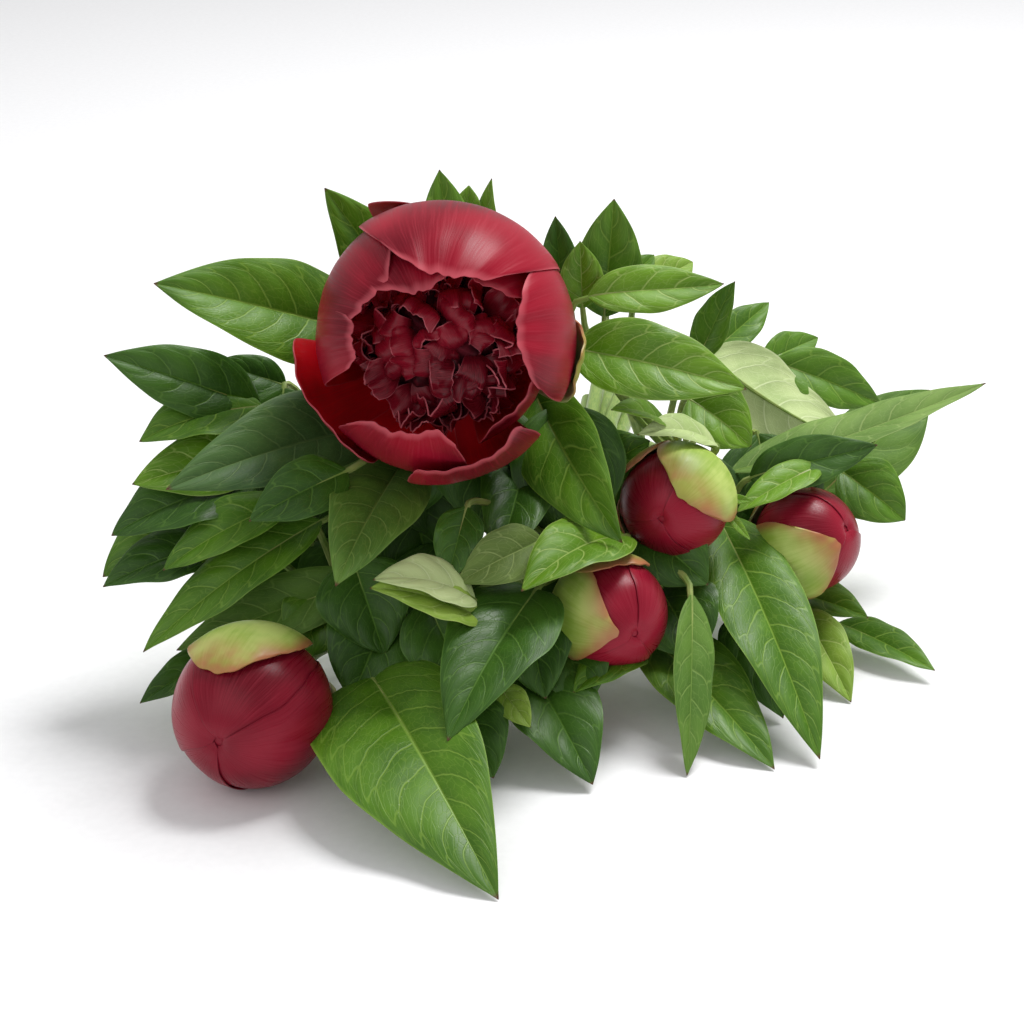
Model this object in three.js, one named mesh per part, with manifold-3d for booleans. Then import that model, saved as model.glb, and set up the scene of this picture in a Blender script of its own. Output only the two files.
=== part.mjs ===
// A bunch of cut peonies lying on its side on a flat surface: one open bloom, four buds on the point of opening,
// their leafy stems and the twine that ties them. Millimetres, +Z up. The heads point along -Y and the cut ends
// lie towards +Y; the origin is the middle of the bunch's footprint, on the surface.
//
// Leaves, petals and sepals are thin sheets. Each is lofted over a grid of points whose rows run from its foot to
// its tip, so a sheet's section is a flat lens with sharp rims.
import * as THREE from "three";
import { mergeVertices } from "three/addons/utils/BufferGeometryUtils.js";
import Module from "manifold-3d";

const wasm = await Module();
wasm.setup();

// ---- driving dimensions -------------------------------------------------------------------------------------
const CLEARANCE = 0.4; // air between neighbouring pieces
const STEM_RADIUS = 3.2;
const STEM_SIDES = 8;
const STEM_STEPS = 20;
const TWINE_DIAMETER = 2;
const TWINE_TURNS = 5;
const LEAF_THICKNESS = 0.9;
const PETIOLE_WIDTH = 2.6;
const PETIOLE_THICKNESS = 1.9;
const LEAF_TIP_WIDTH = 0.7;
const PETAL_THICKNESS = 0.9;
const PETAL_CLAW_WIDTH = 5; // a petal narrows to this where it joins the flower's base
const SEPAL_THICKNESS = 1.1;
const RECEPTACLE_DEPTH = 2.6; // the swollen stem top that carries the sepals
const BLOOM_RADIUS = 44.5;
const LARGE_BUD_RADIUS = 25.5;
const SMALL_BUD_RADIUS = 18.5;
const TIE_POSITION = new THREE.Vector3(36, 140, 0); // where the twine binds the stems
const CUT_END_POSITION = new THREE.Vector3(44, 218, 0);
const CUT_END_SPLAY = 1.35; // how far the stems spread apart again past the tie

const vec = (x, y, z) => new THREE.Vector3(x, y, z);
const rad = THREE.MathUtils.degToRad;
const lerp = THREE.MathUtils.lerp;

// ---- solids and meshes --------------------------------------------------------------------------------------
const material = (color, roughness) =>
  new THREE.MeshStandardMaterial({ color, roughness, metalness: 0, side: THREE.DoubleSide });
const STEM_GREEN = material(0x7f9a4a, 0.55);
const LEAF_GREEN = material(0x3d6b2a, 0.5);
const PETAL_RED = material(0x8e1030, 0.45);
const HEART_RED = material(0x4a0a18, 0.6);
const BUD_RED = material(0x9a1d3c, 0.4);
const SEPAL_GREEN = material(0x9db354, 0.5);
const TWINE_TAN = material(0xb79a6a, 0.9);

function solidOf(geometry) {
  const positions = new THREE.BufferGeometry();
  positions.setAttribute("position", geometry.getAttribute("position"));
  positions.setIndex(geometry.index);
  const merged = mergeVertices(positions, 1e-4);
  return new wasm.Manifold(
    new wasm.Mesh({
      numProp: 3,
      vertProperties: merged.attributes.position.array,
      triVerts: new Uint32Array(merged.index.array),
    }),
  );
}

function geometryOf(solid) {
  const mesh = solid.getMesh();
  const geometry = new THREE.BufferGeometry();
  geometry.setAttribute("position", new THREE.BufferAttribute(mesh.vertProperties.slice(), mesh.numProp));
  geometry.setIndex(new THREE.BufferAttribute(mesh.triVerts.slice(), 1));
  geometry.computeVertexNormals();
  return geometry;
}

const bunch = new THREE.Group();
const placed = []; // every solid so far, for the leaves to keep clear of

function addPiece(name, geometry, pieceMaterial) {
  const mesh = new THREE.Mesh(geometry, pieceMaterial);
  mesh.name = name;
  bunch.add(mesh);
  geometry.computeBoundingBox();
  placed.push({ name, solid: solidOf(geometry), box: geometry.boundingBox });
}

// ---- sheets -------------------------------------------------------------------------------------------------
// A closed solid over a grid of points, thickness[row] thick between its two sharp rims.
function sheetGeometry(grid, thickness) {
  const rows = grid.length;
  const columns = grid[0].length;
  const ringSize = 2 * columns - 2;
  const positions = [];
  for (let i = 0; i < rows; i++) {
    const before = grid[Math.max(i - 1, 0)];
    const after = grid[Math.min(i + 1, rows - 1)];
    const upper = [];
    const lower = [];
    for (let j = 1; j < columns - 1; j++) {
      const across = grid[i][j + 1].clone().sub(grid[i][j - 1]);
      const along = after[j].clone().sub(before[j]);
      const half = across.cross(along).setLength(thickness[i] / 2);
      upper.push(grid[i][j].clone().add(half));
      lower.unshift(grid[i][j].clone().sub(half));
    }
    for (const p of [grid[i][0], ...upper, grid[i][columns - 1], ...lower]) positions.push(p.x, p.y, p.z);
  }
  const index = [];
  for (let i = 0; i < rows - 1; i++) {
    for (let j = 0; j < ringSize; j++) {
      const a = i * ringSize + j;
      const b = i * ringSize + ((j + 1) % ringSize);
      index.push(a, b, b + ringSize, a, b + ringSize, a + ringSize);
    }
  }
  const foot = (j) => j % ringSize;
  const tip = (j) => (rows - 1) * ringSize + (j % ringSize);
  for (const [corner, flip] of [[foot, true], [tip, false]]) {
    for (let j = 0; j < columns - 1; j++) {
      const [a, b] = [corner(j), corner(j + 1)];
      const [c, d] = [corner(ringSize - j - 1), corner(ringSize - j)];
      const triangles = [[a, b, c], [a, c, d]].filter((t) => new Set(t).size === 3);
      for (const t of triangles) index.push(...(flip ? [t[0], t[2], t[1]] : t));
    }
  }
  const geometry = new THREE.BufferGeometry();
  geometry.setAttribute("position", new THREE.Float32BufferAttribute(positions, 3));
  geometry.setIndex(index);
  geometry.computeVertexNormals();
  return geometry;
}

// ---- heads: the bloom and the buds ---------------------------------------------------------------------------
// Each head has a centre, the way it faces and a radius. On it, a point is given by an angle from its foot
// (0 at the stem, 90 at its widest, 180 at its crown), a bearing round its axis and a share of its radius.
const HEADS = {
  bloom: { centre: vec(-23, -60, 133), faces: vec(-0.04, -0.93, 0.37), radius: BLOOM_RADIUS },
  bud_front: {
    centre: vec(-83, -110, LARGE_BUD_RADIUS + 0.1),
    faces: vec(-0.35, -0.93, 0.02),
    radius: LARGE_BUD_RADIUS,
  },
  bud_high: { centre: vec(56, -42, 68), faces: vec(-0.3, -0.85, 0.06), radius: SMALL_BUD_RADIUS },
  bud_low: { centre: vec(33, -72, 40.5), faces: vec(0.4, -0.92, 0.04), radius: SMALL_BUD_RADIUS },
  bud_right: { centre: vec(103, -22, 44), faces: vec(0.6, -0.45, 0.42), radius: SMALL_BUD_RADIUS },
};
for (const head of Object.values(HEADS)) {
  head.faces.normalize();
  head.right = vec(0, 0, 1).cross(head.faces).normalize();
  head.up = head.faces.clone().cross(head.right).normalize();
}

function onHead(head, angle, bearing, share) {
  const reach = head.radius * share;
  return head.centre.clone()
    .addScaledVector(head.right, reach * Math.sin(angle) * Math.cos(bearing))
    .addScaledVector(head.up, reach * Math.sin(angle) * Math.sin(bearing))
    .addScaledVector(head.faces, -reach * Math.cos(angle));
}

// A cupped sheet on a head: a claw at its foot, a round rim, and a flare that opens or closes the rim.
function cuppedGrid(head, shape, rows, columns) {
  const { bearing, span, reach, share, flare = 0, drop = 14, foot = 10, claw } = shape;
  const clawSpan = claw / 2 / (head.radius * share * Math.sin(rad(foot)));
  const grid = [];
  for (let i = 0; i < rows; i++) {
    const v = i / (rows - 1);
    const opening = Math.sin((Math.PI / 2) * Math.min(1, v / 0.55)) ** 0.8;
    const halfSpan = lerp(clawSpan, rad(span), opening) * (1 - 0.12 * v ** 4);
    const row = [];
    for (let j = 0; j < columns; j++) {
      const u = (2 * j) / (columns - 1) - 1;
      const angle = rad(lerp(foot, reach - drop * u * u, v));
      row.push(onHead(head, angle, rad(bearing) + halfSpan * u, share * (1 + flare * v ** 3)));
    }
    grid.push(row);
  }
  return grid;
}

const evenly = (count, value) => Array(count).fill(value);

// The bloom's guard petals, outermost first. Bearing 0 is to the right as the bloom is looked at, 90 is up.
const PETALS = {
  petal_back: { bearing: 112, span: 17, reach: 82, share: 1.1, flare: 0.03 },
  petal_lower_right: { bearing: 296, span: 42, reach: 117, share: 1.06, drop: -8 },
  petal_lower_left: { bearing: 205, span: 40, reach: 99, share: 1.06, drop: -12 },
  petal_top: { bearing: 77, span: 48, reach: 154, share: 1.02, drop: 18 },
  petal_right: { bearing: 3, span: 42, reach: 143, share: 0.975 },
  petal_bottom: { bearing: 252, span: 43, reach: 133, share: 0.975, drop: 6 },
  petal_left: { bearing: 151, span: 41, reach: 147, share: 0.97, drop: 18 },
  petal_inner_top: { bearing: 105, span: 48, reach: 158, share: 0.92 },
  petal_inner_right: { bearing: 54, span: 36, reach: 146, share: 0.87 },
};
const PETAL_ROWS = 8;
const PETAL_COLUMNS = 7;

function buildBloom() {
  const head = HEADS.bloom;
  for (const [name, petal] of Object.entries(PETALS)) {
    const grid = cuppedGrid(head, { ...petal, claw: PETAL_CLAW_WIDTH }, PETAL_ROWS, PETAL_COLUMNS);
    addPiece(name, sheetGeometry(grid, evenly(PETAL_ROWS, PETAL_THICKNESS)), PETAL_RED);
  }
  buildHeart(head);
}

// The heart's half section, as shares of the bloom's radius: distance from its axis and height along it.
const HEART_OUTLINE = [
  [0, -0.86], [0.1, -0.86], [0.3, -0.7], [0.52, -0.45], [0.64, -0.1],
  [0.61, 0.2], [0.46, 0.42], [0.23, 0.54], [0, 0.57],
];
const HEART_LUMPINESS = 0.035;

// The crumpled inner petals, as one lumpy dome that stands on the bloom's base.
function buildHeart(head) {
  const lathe = new THREE.LatheGeometry(HEART_OUTLINE.map(([r, h]) => new THREE.Vector2(r, h)), 20);
  const lumps = lathe.getAttribute("position");
  for (let i = 0; i < lumps.count; i++) {
    const p = vec(0, 0, 0).fromBufferAttribute(lumps, i);
    const bearing = Math.atan2(p.z, p.x);
    const swell = 1 + HEART_LUMPINESS * Math.sin(5 * bearing) * Math.sin(6 * p.y);
    lumps.setXYZ(i, p.x * swell, p.y, p.z * swell);
  }
  lathe.applyMatrix4(new THREE.Matrix4().makeScale(head.radius, head.radius, head.radius));
  standOnHead(lathe, head);
  addPiece("bloom_heart", geometryOf(solidOf(lathe)), HEART_RED);
}

// Turns a shape modelled about +Y at the origin so that it stands about a head's axis at its centre.
function standOnHead(geometry, head) {
  const turn = new THREE.Matrix4().makeBasis(head.right, head.faces, head.up.clone().negate());
  geometry.applyMatrix4(turn.setPosition(head.centre));
}

// A bud is a ball of tightly wrapped petals, a little drawn out towards its crown.
const BUD_OUTLINE = [180, 158, 138, 118, 98, 78, 58, 38, 18, 0].map(rad);
const BUD_CROWN_SHARE = 0.03;

function buildBud(name) {
  const head = HEADS[name];
  const profile = BUD_OUTLINE.map((a) => {
    const r = head.radius * (1 + BUD_CROWN_SHARE * Math.cos(a));
    return new THREE.Vector2(Math.max(r * Math.sin(a), 0), r * Math.cos(a));
  });
  profile[0].x = 0;
  profile[profile.length - 1].x = 0;
  const ball = new THREE.LatheGeometry(profile, 16);
  standOnHead(ball, head);
  addPiece(name, geometryOf(solidOf(ball)), BUD_RED);
}

// Sepals by head: bearing, half span and reach in degrees.
const SEPALS = {
  bloom: [[352, 24, 66], [112, 26, 60], [232, 26, 58]],
  bud_front: [[90, 56, 136], [215, 36, 66], [330, 36, 64]],
  bud_high: [[30, 66, 150], [150, 40, 100], [262, 46, 98]],
  bud_low: [[190, 66, 150], [72, 46, 108], [322, 42, 86]],
  bud_right: [[235, 66, 138], [110, 40, 70], [345, 40, 64]],
};
const SEPAL_ROWS = 7;
const SEPAL_COLUMNS = 7;
const PETAL_PACK = { bloom: 1.1 * 1.03 }; // share of the radius that the outermost petal reaches, 1 on a bud

const SHEET_SAG = 0.035; // share of the radius by which a cupped sheet's flat facets cut inside its curve

const calyxShare = (name) => {
  const { radius } = HEADS[name];
  const crown = PETAL_PACK[name] ?? 1 + BUD_CROWN_SHARE;
  return crown + SHEET_SAG + (CLEARANCE + SEPAL_THICKNESS / 2) / radius;
};

// A head's sepals, grown together with the receptacle that they spring from.
function buildCalyx(name) {
  const head = HEADS[name];
  const share = calyxShare(name);
  const inner = (share - SEPAL_THICKNESS / 2 / head.radius) * head.radius;
  const rim = rad(24);
  const arc = [0, rim / 3, (2 * rim) / 3, rim];
  const profile = [
    ...arc.map((a) => new THREE.Vector2((inner + RECEPTACLE_DEPTH * Math.cos(a)) * Math.sin(a),
      -(inner + RECEPTACLE_DEPTH * Math.cos(a)) * Math.cos(a))),
    ...arc.toReversed().map((a) => new THREE.Vector2(inner * Math.sin(a), -inner * Math.cos(a))),
  ];
  profile[0].x = 0;
  profile[profile.length - 1].x = 0;
  const receptacle = new THREE.LatheGeometry(profile, 12);
  standOnHead(receptacle, head);
  let calyx = solidOf(receptacle);
  for (const [bearing, span, reach] of SEPALS[name]) {
    const sepal = { bearing, span, reach, share, foot: 14, claw: PETAL_CLAW_WIDTH, drop: reach * 0.3 };
    const grid = cuppedGrid(head, sepal, SEPAL_ROWS, SEPAL_COLUMNS);
    calyx = calyx.add(solidOf(sheetGeometry(grid, evenly(SEPAL_ROWS, SEPAL_THICKNESS))));
  }
  addPiece(`${name}_calyx`, geometryOf(calyx), SEPAL_GREEN);
}

// ---- stems and their tie ------------------------------------------------------------------------------------
// Across the tie the stems lie packed, three below and two above. Between the tie and its head, each stem passes
// through the points listed here.
const PITCH = 2 * STEM_RADIUS + 2 * CLEARANCE; // from one packed stem's middle to the next
const TWINE_GAP = 2 * CLEARANCE; // air between the twine and the stems
const TWINE_LIFT = TWINE_DIAMETER + TWINE_GAP; // the twine passes under the stems
const PACKING = {
  bud_front: [-1, 0],
  bud_low: [0, 0],
  bud_right: [1, 0],
  bloom: [-0.5, Math.sqrt(0.75)],
  bud_high: [0.5, Math.sqrt(0.75)],
};
const STEM_ROUTES = {
  bloom: { points: [vec(14, 62, 66), vec(-14, 6, 104)], cut: 6 },
  bud_front: { points: [vec(-18, 40, 20), vec(-58, -42, 18)], cut: 0 },
  bud_high: { points: [vec(50, 60, 46), vec(62, 4, 60)], cut: -9 },
  bud_low: { points: [vec(28, 52, 26), vec(24, -20, 38)], cut: 12 },
  bud_right: { points: [vec(70, 62, 18), vec(80, 18, 28)], cut: -4 },
};

const packedAt = (name, middle, lift, splay) => {
  const [across, above] = PACKING[name];
  return middle.clone().add(vec(across * PITCH * splay, 0, STEM_RADIUS + lift + above * PITCH * splay));
};

for (const [name, stem] of Object.entries(STEM_ROUTES)) {
  const head = HEADS[name];
  const footing = calyxShare(name) * head.radius - SEPAL_THICKNESS / 2 + RECEPTACLE_DEPTH + CLEARANCE;
  const top = head.centre.clone().addScaledVector(head.faces, -footing);
  const neck = top.clone().addScaledVector(head.faces, -10);
  const cut = packedAt(name, CUT_END_POSITION, 0, CUT_END_SPLAY).add(vec(0, stem.cut, 0));
  const tie = packedAt(name, TIE_POSITION, TWINE_LIFT, 1);
  const straight = vec(0, TWINE_DIAMETER * TWINE_TURNS, 0); // the stem runs level for this far each side of it
  const route = [cut, tie.clone().add(straight), tie.clone().sub(straight), ...stem.points, neck, top];
  stem.curve = new THREE.CatmullRomCurve3(route, false, "centripetal");
}

function buildStem(name) {
  const section = new THREE.Shape();
  for (let k = 0; k < STEM_SIDES; k++) {
    const a = (2 * Math.PI * k) / STEM_SIDES;
    section[k ? "lineTo" : "moveTo"](STEM_RADIUS * Math.cos(a), STEM_RADIUS * Math.sin(a));
  }
  section.closePath();
  const tube = new THREE.ExtrudeGeometry(section, { steps: STEM_STEPS, extrudePath: STEM_ROUTES[name].curve });
  addPiece(`${name}_stem`, geometryOf(solidOf(tube)), STEM_GREEN);
}

// The twine's turns as one band round the packed stems.
function buildTie() {
  const corners = ["bud_front", "bud_right", "bud_high", "bloom"].map((n) =>
    packedAt(n, TIE_POSITION, TWINE_LIFT, 1));
  const outline = (offset, path) => {
    corners.forEach((corner, k) => {
      const before = corners[(k + 3) % 4];
      const after = corners[(k + 1) % 4];
      const from = Math.atan2(corner.z - before.z, corner.x - before.x) - Math.PI / 2;
      const to = Math.atan2(after.z - corner.z, after.x - corner.x) - Math.PI / 2;
      path.absarc(corner.x, corner.z, offset, from, to, false);
    });
    path.closePath();
    return path;
  };
  const inner = STEM_RADIUS + TWINE_GAP;
  const band = outline(inner + TWINE_DIAMETER, new THREE.Shape());
  band.holes.push(outline(inner, new THREE.Path()));
  const depth = TWINE_DIAMETER * TWINE_TURNS;
  const tie = new THREE.ExtrudeGeometry(band, { depth, bevelEnabled: false, curveSegments: 5 });
  tie.applyMatrix4(new THREE.Matrix4().makeRotationX(Math.PI / 2));
  tie.translate(0, TIE_POSITION.y + depth / 2, 0);
  addPiece("tie", geometryOf(solidOf(tie)), TWINE_TAN);
}

// ---- leaves -------------------------------------------------------------------------------------------------
// The ways a leaf's upper side may face.
const UP = vec(0, 0, 1);
const FRONT = vec(0, -0.8, 0.6);
const FRONT_LEFT = vec(-0.5, -0.7, 0.5);
const FRONT_RIGHT = vec(0.5, -0.7, 0.5);
const UP_FRONT = vec(0, -0.4, 0.9);
const BACK_DOWN = vec(-0.1, 0.75, -0.65);

// A point given from the bloom's centre as it lies for a bloom of this radius. It moves out with the petals.
const LAID_OUT_RADIUS = 44.5;
const byBloom = (x, y, z) =>
  HEADS.bloom.centre.clone().addScaledVector(vec(x, y, z), BLOOM_RADIUS / LAID_OUT_RADIUS);

// Each leaf: its stem, the points where its blade starts and ends, its width, how far the blade arches near its
// base and near its tip, and the way it faces.
const LEAVES = {
  leaf_bloom_front: ["bloom", byBloom(31, 15, -23), byBloom(59, -20, -63), 32, [4, 4], FRONT_LEFT],
  leaf_front_big: ["bud_front", vec(-46, -92, 27), vec(-4, -184, 0.6), 46, [9, 9], vec(-0.15, -0.4, 0.9)],
  leaf_high_over: ["bud_high", vec(72, -40, 62), vec(101, -100, 1), 34, [6, 6], UP_FRONT],
  leaf_bloom_left: ["bloom", byBloom(-25, 35, -10), byBloom(-94, 15, 14), 38, [2, 3], FRONT],
  leaf_bloom_low_left: ["bloom", byBloom(-19, 10, -32), byBloom(-88, -25, -42), 36, [6, 9], FRONT],
  leaf_bloom_right: ["bloom", byBloom(43, 28, -13), byBloom(101, 15, -23), 30, [4, 4], FRONT],
  leaf_low_wide: ["bud_low", vec(8, -78, 52), vec(-20, -134, 27), 36, [4, 6], UP_FRONT],
  leaf_low_bright: ["bud_low", vec(38, -66, 66), vec(3, -100, 62), 28, [5, 7], UP_FRONT],
  leaf_bloom_drop: ["bloom", byBloom(31, 2, -31), byBloom(18, -42, -64), 30, [3, 7], FRONT],
  leaf_bloom_drop_left: ["bloom", byBloom(-14, -6, -39), byBloom(-32, -48, -65), 34, [3, 7], FRONT],
  leaf_bloom_crown_left: ["bloom", byBloom(-11, 55, -11), byBloom(-40, 50, 36), 30, [2, 3], FRONT],
  leaf_bloom_crown: ["bloom", byBloom(3, 68, -5), byBloom(-2, 72, 36), 22, [1, 2], FRONT],
  leaf_bloom_crown_right: ["bloom", byBloom(13, 76, -9), byBloom(16, 82, 30), 14, [1, 2], FRONT_LEFT],
  leaf_bloom_shoulder: ["bloom", byBloom(41, 66, -13), byBloom(38, 70, 20), 16, [1, 1], FRONT],
  leaf_high_crown: ["bud_high", vec(32, 0, 120), vec(35, 4, 161), 26, [1, 2], FRONT],
  leaf_high_small: ["bud_high", vec(24, -14, 128), vec(23, -12, 151), 17, [0, 1], FRONT],
  leaf_high_level: ["bud_high", vec(26, -20, 134), vec(72, -20, 139), 19, [3, -2], FRONT],
  leaf_high_narrow: ["bud_high", vec(66, 10, 100), vec(78, 8, 130), 16, [0, 1], FRONT_LEFT],
  leaf_high_pale: ["bud_high", vec(70, 20, 97), vec(126, 20, 63), 42, [4, 8], BACK_DOWN],
  leaf_right_long: ["bud_right", vec(78, -5, 63), vec(167, 0, 95), 26, [-2, -2], vec(0, -0.2, 1)],
  leaf_right_dark: ["bud_right", vec(84, -10, 63), vec(127, -5, 73), 20, [4, -2], FRONT],
  leaf_right_light: ["bud_right", vec(103, -34, 22), vec(117, -61, 0.6), 20, [3, 3], FRONT],
  leaf_right_under: ["bud_right", vec(98, -26, 25), vec(126, -40, 22), 20, [2, 2], UP_FRONT],
  leaf_right_low: ["bud_right", vec(118, -18, 9), vec(148, -46, 5), 18, [2, 1], UP_FRONT],
  leaf_right_upper: ["bud_right", vec(97, 45, 86), vec(138, 45, 69), 22, [3, 3], FRONT],
  leaf_right_back: ["bud_right", vec(116, 28, 41), vec(158, 58, 70), 34, [2, 3], FRONT],
  leaf_back_left: ["bud_right", vec(76, 60, 85), vec(98, 78, 98), 16, [1, 1], FRONT],
  leaf_back_right: ["bud_right", vec(98, 88, 70), vec(121, 105, 74), 16, [1, 1], FRONT],
  leaf_low_right: ["bud_low", vec(44, -66, 30), vec(86, -107, 0.6), 32, [5, 4], UP_FRONT],
  leaf_low_folded: ["bud_low", vec(60, -70, 46), vec(57, -111, 0.6), 17, [1, 1], FRONT_RIGHT],
  leaf_low_middle: ["bud_low", vec(3, -78, 27), vec(26, -116, 0.8), 34, [3, 3], UP_FRONT],
  leaf_front_left: ["bud_front", vec(-64, -58, 68), vec(-121, -90, 35), 25, [4, 4], UP_FRONT],
  leaf_front_pale: ["bud_front", vec(-49, -66, 50), vec(-113, -80, 30), 24, [3, 3], FRONT],
  leaf_left_high: ["bud_front", vec(-86, -28, 97), vec(-135, -45, 122), 26, [2, 2], FRONT],
  leaf_left_wide: ["bud_front", vec(-86, -38, 64), vec(-138, -60, 48), 42, [4, 5], UP_FRONT],
};
const BLADE_STATIONS = [0, 0.12, 0.3, 0.5, 0.7, 0.88, 1];
const BLADE_WIDEST = 0.42;
const BLADE_FULLNESS = 1.5;
const BLADE_FOLD = rad(13);
const BLADE_COLUMNS = [-1, -0.5, 0, 0.5, 1];

// Share of the full width at t along a blade: round at the base, drawn to a point at the tip.
const bladeOutline = (t) =>
  (t / BLADE_WIDEST) ** (BLADE_FULLNESS * BLADE_WIDEST) *
  ((1 - t) / (1 - BLADE_WIDEST)) ** (BLADE_FULLNESS * (1 - BLADE_WIDEST));

// Where along a stem a petiole leaves it: the nearest point to the blade's start, and then run back from there.
function jointOn(stem, start, run) {
  const shares = Array.from({ length: 101 }, (_, k) => k / 100);
  const gaps = shares.map((share) => stem.getPointAt(share).distanceTo(start));
  const nearest = shares[gaps.indexOf(Math.min(...gaps))];
  return stem.getPointAt(THREE.MathUtils.clamp(nearest - run / stem.getLength(), 0.35, 0.97));
}

// A leaf as a sheet. It may lie deeper in the bunch than its points say, by one amount at its blade's start and
// another at its tip, with a longer petiole or a smaller blade; extra is added to its thickness and its width.
function leafGeometry([stemName, from, to, fullWidth, [archBase, archTip], facing], lie, extra = 0) {
  const start = from.clone().addScaledVector(INWARD, lie.deepStart);
  const end = to.clone().addScaledVector(INWARD, lie.deepTip).lerp(start, 1 - lie.size);
  const width = fullWidth * lie.size;
  const chord = end.clone().sub(start);
  const sideways = chord.clone().cross(facing).normalize();
  const upward = sideways.clone().cross(chord).normalize();
  const at = (share, rise) =>
    start.clone().addScaledVector(chord, share).addScaledVector(upward, rise * (4 / 3));
  const blade = new THREE.CubicBezierCurve3(start, at(1 / 3, archBase), at(2 / 3, archTip), at(1, 0));
  const joint = jointOn(STEM_ROUTES[stemName].curve, start, lie.run);
  const footing = STEM_RADIUS + CLEARANCE + PETIOLE_WIDTH;
  const foot = joint.clone().addScaledVector(start.clone().sub(joint).normalize(), footing);
  const bend = start.clone().addScaledVector(blade.getTangent(0), -0.35 * foot.distanceTo(start));
  const petiole = new THREE.QuadraticBezierCurve3(foot, bend, start);

  const grid = [];
  const thickness = [];
  const addRow = (curve, t, halfWidth, thick) => {
    const middle = curve.getPoint(t);
    const along = curve.getTangent(t);
    const across = along.clone().cross(upward).normalize();
    const normal = across.clone().cross(along);
    grid.push(BLADE_COLUMNS.map((c) => middle.clone()
      .addScaledVector(across, (halfWidth + extra / 2) * c * Math.cos(BLADE_FOLD))
      .addScaledVector(normal, (halfWidth + extra / 2) * Math.abs(c) * Math.sin(BLADE_FOLD))));
    thickness.push(thick + extra);
  };
  for (const t of [0, 0.5]) addRow(petiole, t, PETIOLE_WIDTH / 2, PETIOLE_THICKNESS);
  for (const t of BLADE_STATIONS) {
    const least = (t < 0.5 ? PETIOLE_WIDTH : LEAF_TIP_WIDTH) / 2;
    const half = Math.max((width / 2) * bladeOutline(t), least);
    addRow(blade, t, half, t === 0 ? PETIOLE_THICKNESS : LEAF_THICKNESS);
  }
  return sheetGeometry(grid, thickness);
}

// The ways a leaf may lie, nearest to its own points first.
const INWARD = vec(0, 0.91, -0.41); // deeper into the bunch
const LIES = [];
for (const deepStart of [0, 5, -5, 10, -10, 16, -16, 24, -24, 34, 46]) {
  for (const deepTip of [0, 5, -5, 10, -10, 16, -16, 24, -24]) {
    for (const run of [25, 12, 45, 70]) {
      for (const size of [1, 0.8, 0.6]) {
        const cost = Math.abs(deepStart) + Math.abs(deepTip) + 0.06 * Math.abs(run - 25) + 150 * (1 - size);
        LIES.push({ deepStart, deepTip, run, size, cost });
      }
    }
  }
}
LIES.sort((a, b) => a.cost - b.cost);

const isClear = (geometry) => {
  geometry.computeBoundingBox();
  const near = placed.filter((other) => other.box.intersectsBox(geometry.boundingBox));
  const solid = solidOf(geometry);
  return near.every((other) => solid.intersect(other.solid).volume() < 1e-3);
};

// Lays a leaf in the bunch as near to its own points as keeps it clear of every piece already there and of the
// surface.
function buildLeaf(name) {
  const lie = LIES.find((option) => {
    const grown = leafGeometry(LEAVES[name], option, 2 * CLEARANCE);
    grown.computeBoundingBox();
    return grown.boundingBox.min.z > -0.4 && isClear(grown);
  });
  addPiece(name, leafGeometry(LEAVES[name], lie), LEAF_GREEN);
}

// ---- the bunch ----------------------------------------------------------------------------------------------
buildBloom();
for (const name of Object.keys(HEADS)) {
  if (name !== "bloom") buildBud(name);
  buildCalyx(name);
  buildStem(name);
}
buildTie();
for (const name of Object.keys(LEAVES)) buildLeaf(name);

const box = new THREE.Box3().setFromObject(bunch);
const middle = box.getCenter(vec(0, 0, 0));
bunch.position.set(-middle.x, -middle.y, -box.min.z);

export default bunch;
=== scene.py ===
import math

import bpy
import numpy as np
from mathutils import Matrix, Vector


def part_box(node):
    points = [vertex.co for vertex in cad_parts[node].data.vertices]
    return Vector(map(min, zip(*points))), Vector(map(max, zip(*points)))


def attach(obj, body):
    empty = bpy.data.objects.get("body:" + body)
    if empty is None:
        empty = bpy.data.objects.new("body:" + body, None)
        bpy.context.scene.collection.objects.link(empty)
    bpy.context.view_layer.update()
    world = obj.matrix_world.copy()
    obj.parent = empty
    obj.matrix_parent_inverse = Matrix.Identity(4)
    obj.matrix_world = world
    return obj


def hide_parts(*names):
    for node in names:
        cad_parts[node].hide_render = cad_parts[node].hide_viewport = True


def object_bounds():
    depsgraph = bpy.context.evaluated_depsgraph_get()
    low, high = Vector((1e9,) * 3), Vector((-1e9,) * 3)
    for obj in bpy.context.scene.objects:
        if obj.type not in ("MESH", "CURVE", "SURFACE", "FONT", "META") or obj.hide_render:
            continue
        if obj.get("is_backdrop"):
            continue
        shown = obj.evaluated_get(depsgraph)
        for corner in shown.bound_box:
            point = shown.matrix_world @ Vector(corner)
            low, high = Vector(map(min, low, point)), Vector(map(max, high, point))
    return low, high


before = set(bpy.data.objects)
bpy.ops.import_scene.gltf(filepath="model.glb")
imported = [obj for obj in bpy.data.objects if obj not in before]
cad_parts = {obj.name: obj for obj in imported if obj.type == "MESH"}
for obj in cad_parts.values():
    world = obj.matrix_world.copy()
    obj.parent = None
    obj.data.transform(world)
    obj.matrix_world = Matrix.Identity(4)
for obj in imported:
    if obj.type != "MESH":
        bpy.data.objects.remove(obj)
cad_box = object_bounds()
random = np.random.default_rng(11)
MM = 0.001

# A bunch of cut peonies lying on its side. Each head's place, each leaf's midrib and each stem's
# route are read from the CAD nodes; the leaves, petals, sepals, stems and twine are then built
# again as fine, shaped sheets and tubes round them.


# ---- reading the CAD nodes ---------------------------------------------------
def unit(v):
    return v / np.maximum(np.linalg.norm(v, axis=-1, keepdims=True), 1e-12)


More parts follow.
